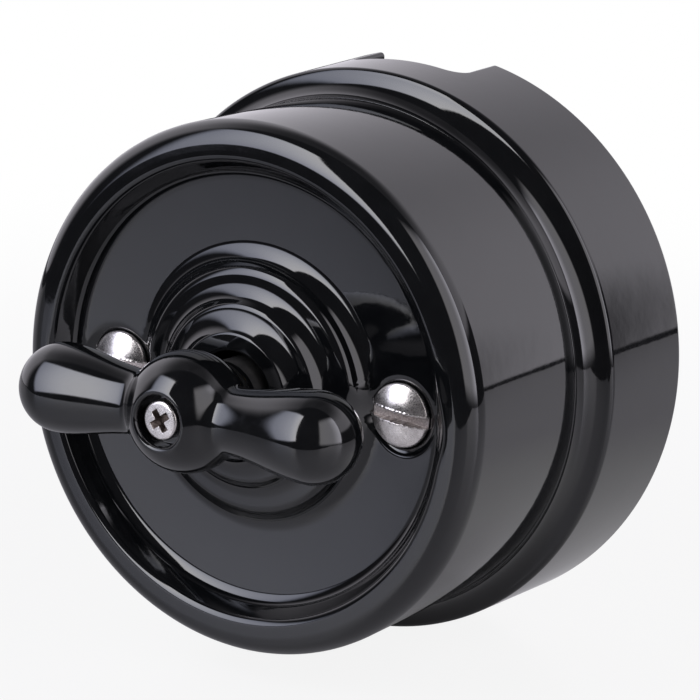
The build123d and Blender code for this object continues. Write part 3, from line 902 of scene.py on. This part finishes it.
def dress(piece, finish, chosen):
    """Gives the faces that a test chooses another finish.

    The test gets their millimetre centres and how far they face the wall.
    """
    mesh = piece.data
    mesh.materials.append(materials[finish])
    centres = np.empty(3 * len(mesh.polygons))
    normals = np.empty(3 * len(mesh.polygons))
    mesh.polygons.foreach_get("center", centres)
    mesh.polygons.foreach_get("normal", normals)
    x, y, z = centres.reshape(-1, 3).T / MM
    mesh.polygons.foreach_set("material_index", chosen(x, -y, z, normals[1::3]).astype(np.int32))
    mesh.update()


# The base's foot and the knob's stem are unglazed, and the cuts in the screws are rougher and darker; the
# knob screw's cross is darker partly from oxide and partly from painted shade in its recess
dress(pieces["base"], "bare_ceramic", on_wall)
dress(pieces["knob"], "bare_ceramic", in_bore)
dress(pieces["cover_screws"], "slot_metal", in_slot)
dress(pieces["knob_screw"], "cross_oxide_and_shade", in_cross)

# The inner pieces keep their CAD meshes and take a finish
carried = {
    "insulation": ("mechanism_body", "rotor"),
    "zinc_steel": (
        "mounting_plate", "plate_screws", "mechanism_screws", "spindle", "thrust_washer", "terminal_screws",
    ),
    "spring_steel": ("spindle_clip", "detent_springs", "detent_cam"),
    "brass": (
        "cover_pillars", "shaft_bush", "bush_nut", "moving_contact", "fixed_contacts", "terminal_blocks",
    ),
}
for finish, names in carried.items():
    for name in names:
        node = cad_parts[name]
        node.data.materials.clear()
        node.data.materials.append(materials[finish])


def direction(turn, rise):
    """The direction at a turn from the front to the right and a rise."""
    return Vector((sin(turn) * cos(rise), -cos(turn) * cos(rise), sin(rise)))


def make_camera():
    """The camera: rolled, and looking a little right of and above what it is turned about."""
    data = bpy.data.cameras.new("camera")
    data.sensor_width = camera_sensor_mm
    data.lens = camera_lens_mm
    camera = bpy.data.objects.new("camera", data)
    bpy.context.scene.collection.objects.link(camera)
    bpy.context.scene.camera = camera
    back = direction(camera_turn, camera_rise)
    right = (-back).cross(Vector((0, 0, 1))).normalized()
    up = right.cross(-back)
    tilted_right = cos(camera_roll) * right + sin(camera_roll) * up
    tilted_up = -sin(camera_roll) * right + cos(camera_roll) * up
    place = camera_aim + camera_distance * back
    target = camera_aim + look_right * tilted_right + look_up * tilted_up
    look = (target - place).normalized()
    side = look.cross(tilted_up).normalized()
    over = side.cross(look)
    camera.matrix_world = Matrix((
        (side.x, over.x, -look.x, place.x),
        (side.y, over.y, -look.y, place.y),
        (side.z, over.z, -look.z, place.z),
        (0, 0, 0, 1),
    ))


def make_world():
    """A backdrop that is white to the camera, and in mirrors bright at the sides and dark in front."""
    world = bpy.data.worlds.new("studio")
    bpy.context.scene.world = world
    world.use_nodes = True
    tree = world.node_tree
    tree.nodes.clear()
    x, y, z = split_vector(tree, tree.nodes.new("ShaderNodeTexCoord").outputs["Generated"])
    turn = math_node(tree, "ARCTAN2", x, math_node(tree, "MULTIPLY", y, -1.0))
    left = ramp(tree, turn, *left_edge, left_strength, 0.0)
    left = math_node(tree, "MULTIPLY", left, ramp(tree, turn, *left_fall, left_far_share, 1.0))
    right = ramp(tree, turn, *right_edge, 0.0, right_strength)
    right = math_node(tree, "MULTIPLY", right, ramp(tree, turn, *right_fall, 1.0, right_far_share))
    clear = math_node(tree, "MAXIMUM", ramp(tree, z, *right_lower_edge), ramp(tree, turn, *right_full_turn))
    sides = math_node(tree, "ADD", left, math_node(tree, "MULTIPLY", right, clear))
    below = ramp(tree, z, *upper_fall, 1.0, upper_share)
    above = ramp(tree, z, *horizon)
    backdrop = math_node(tree, "MULTIPLY", sides, math_node(tree, "MULTIPLY", below, above))
    path = tree.nodes.new("ShaderNodeLightPath")
    share = ramp(tree, mirrored_ray(tree, path), 0.0, 1.0, matt_share, 1.0)
    studio = math_node(tree, "ADD", math_node(tree, "MULTIPLY", backdrop, share), room_strength)
    strength = math_node(tree, "MAXIMUM", studio, path.outputs["Is Camera Ray"])
    background = tree.nodes.new("ShaderNodeBackground")
    tint = mixed_colour(tree, path.outputs["Is Camera Ray"], room_tint, white)
    tree.links.new(tint, background.inputs["Color"])
    tree.links.new(strength, background.inputs["Strength"])
    output = tree.nodes.new("ShaderNodeOutputWorld")
    tree.links.new(background.outputs[0], output.inputs["Surface"])


def make_floor():
    """A white table top under the part, lifted to white for the camera but keeping the shadow; its colour
    holds painted shade and light, and mirrors see a painted pool of light beside it.
    """
    mesh = bpy.data.meshes.new("floor")
    turns = [2 * pi * i / floor_segments for i in range(floor_segments)]
    spots = [(floor_radius * cos(t), max(floor_radius * sin(t), floor_front), 0) for t in turns]
    mesh.from_pydata(spots, [], [list(range(floor_segments))])
    floor = bpy.data.objects.new("floor", mesh)
    floor.location.z = cad_box[0].z - floor_gap
    bpy.context.scene.collection.objects.link(floor)
    material = bpy.data.materials.new("floor_white")
    material.use_nodes = True
    tree = material.node_tree
    surface = tree.nodes["Principled BSDF"]
    surface.inputs["Roughness"].default_value = floor_roughness
    spot = tree.nodes.new("ShaderNodeTexCoord").outputs["Object"]
    way = vector_node(tree, "DOT_PRODUCT", spot, floor_way)
    reach = vector_node(tree, "LENGTH", spot)
    # Painted shade and light: the floor's colour is darker towards the front left and lighter towards the
    # back right
    shade = ramp(tree, way, *floor_shade)
    tree.links.new(mixed_colour(tree, shade, *floor_painted_light_colours), surface.inputs["Base Color"])
    path = tree.nodes.new("ShaderNodeLightPath")
    lift = ramp(tree, reach, *camera_glow_reach, *camera_glow)
    to_camera = math_node(tree, "MULTIPLY", path.outputs["Is Camera Ray"], lift)
    # Painted light: a glow on the floor beside the part, to its right and back, that only mirrors see,
    # standing in for a pool of lamp light
    near = ramp(tree, reach, *painted_pool_reach, *painted_pool_glow)
    near = math_node(tree, "MULTIPLY", near, ramp(tree, way, *painted_pool_edge))
    glow_share = math_node(tree, "ADD", near, mirror_glow_least)
    to_mirrors = math_node(tree, "MULTIPLY", mirrored_ray(tree, path), glow_share)
    share = math_node(tree, "MAXIMUM", to_camera, to_mirrors)
    glow = tree.nodes.new("ShaderNodeEmission")
    mix = tree.nodes.new("ShaderNodeMixShader")
    tree.links.new(share, mix.inputs[0])
    tree.links.new(surface.outputs[0], mix.inputs[1])
    tree.links.new(glow.outputs[0], mix.inputs[2])
    tree.links.new(mix.outputs[0], tree.nodes["Material Output"].inputs["Surface"])
    mesh.materials.append(material)


def softbox(name, distance, turn, rise, tilt, size, spin, radiances, grade, fades, colours):
    """A soft-edged lamp seen from the part at a compass turn and rise, tilted down by an angle.

    It goes from the first radiance and colour on its left to the second on its right, the radiance
    between the shares of its width that the grade gives. The fades are the shares of its width and
    height over which its left, right, lower and upper edges die away.
    """
    data = bpy.data.lights.new(name, "AREA")
    data.shape = "RECTANGLE"
    data.size, data.size_y = size
    data.energy = pi * size[0] * size[1]
    data.use_nodes = True
    tree = data.node_tree
    emission = tree.nodes["Emission"]
    spot = tree.nodes.new("ShaderNodeNewGeometry").outputs["Parametric"]
    across, along, _ = split_vector(tree, spot)
    strength = ramp(tree, across, *grade, *radiances)
    left, right, lower, upper = fades
    edges = (
        ramp(tree, across, 0.0, left),
        ramp(tree, across, 1 - right, 1.0, 1.0, 0.0),
        ramp(tree, along, 0.0, lower),
        ramp(tree, along, 1 - upper, 1.0, 1.0, 0.0),
    )
    for edge in edges:
        strength = math_node(tree, "MULTIPLY", strength, edge)
    tree.links.new(strength, emission.inputs["Strength"])
    tree.links.new(mixed_colour(tree, across, *colours), emission.inputs["Color"])
    lamp = bpy.data.objects.new(name, data)
    bpy.context.scene.collection.objects.link(lamp)
    lamp.matrix_world = (
        Matrix.Translation(lamp_centre + distance * direction(turn, rise))
        @ direction(turn, tilt).to_track_quat("Z", "Y").to_matrix().to_4x4()
        @ Matrix.Rotation(spin, 4, "Z")
    )
    lamp.visible_camera = False


make_camera()
make_world()
make_floor()
softbox(
    "key", distance=0.3, turn=radians(-35), rise=radians(27), tilt=radians(27), size=(0.225, 0.37),
    spin=radians(15), radiances=(2.2, 6.2), grade=(0.0, 1.0), fades=(0.22, 0.05, 0.08, 0.08),
    colours=((0.90, 0.95, 1.2), (1.0, 0.99, 1.01)),
)
softbox(
    "side", distance=0.7, turn=radians(70), rise=radians(39), tilt=0, size=(0.60, 1.0),
    spin=0, radiances=(1.9, 4.3), grade=(0.55, 1.0), fades=(0.14, 0.05, 0.08, 0.35),
    colours=((1.0, 0.97, 1.0), (0.97, 0.95, 1.06)),
)
bpy.context.scene.view_settings.view_transform = "Standard"
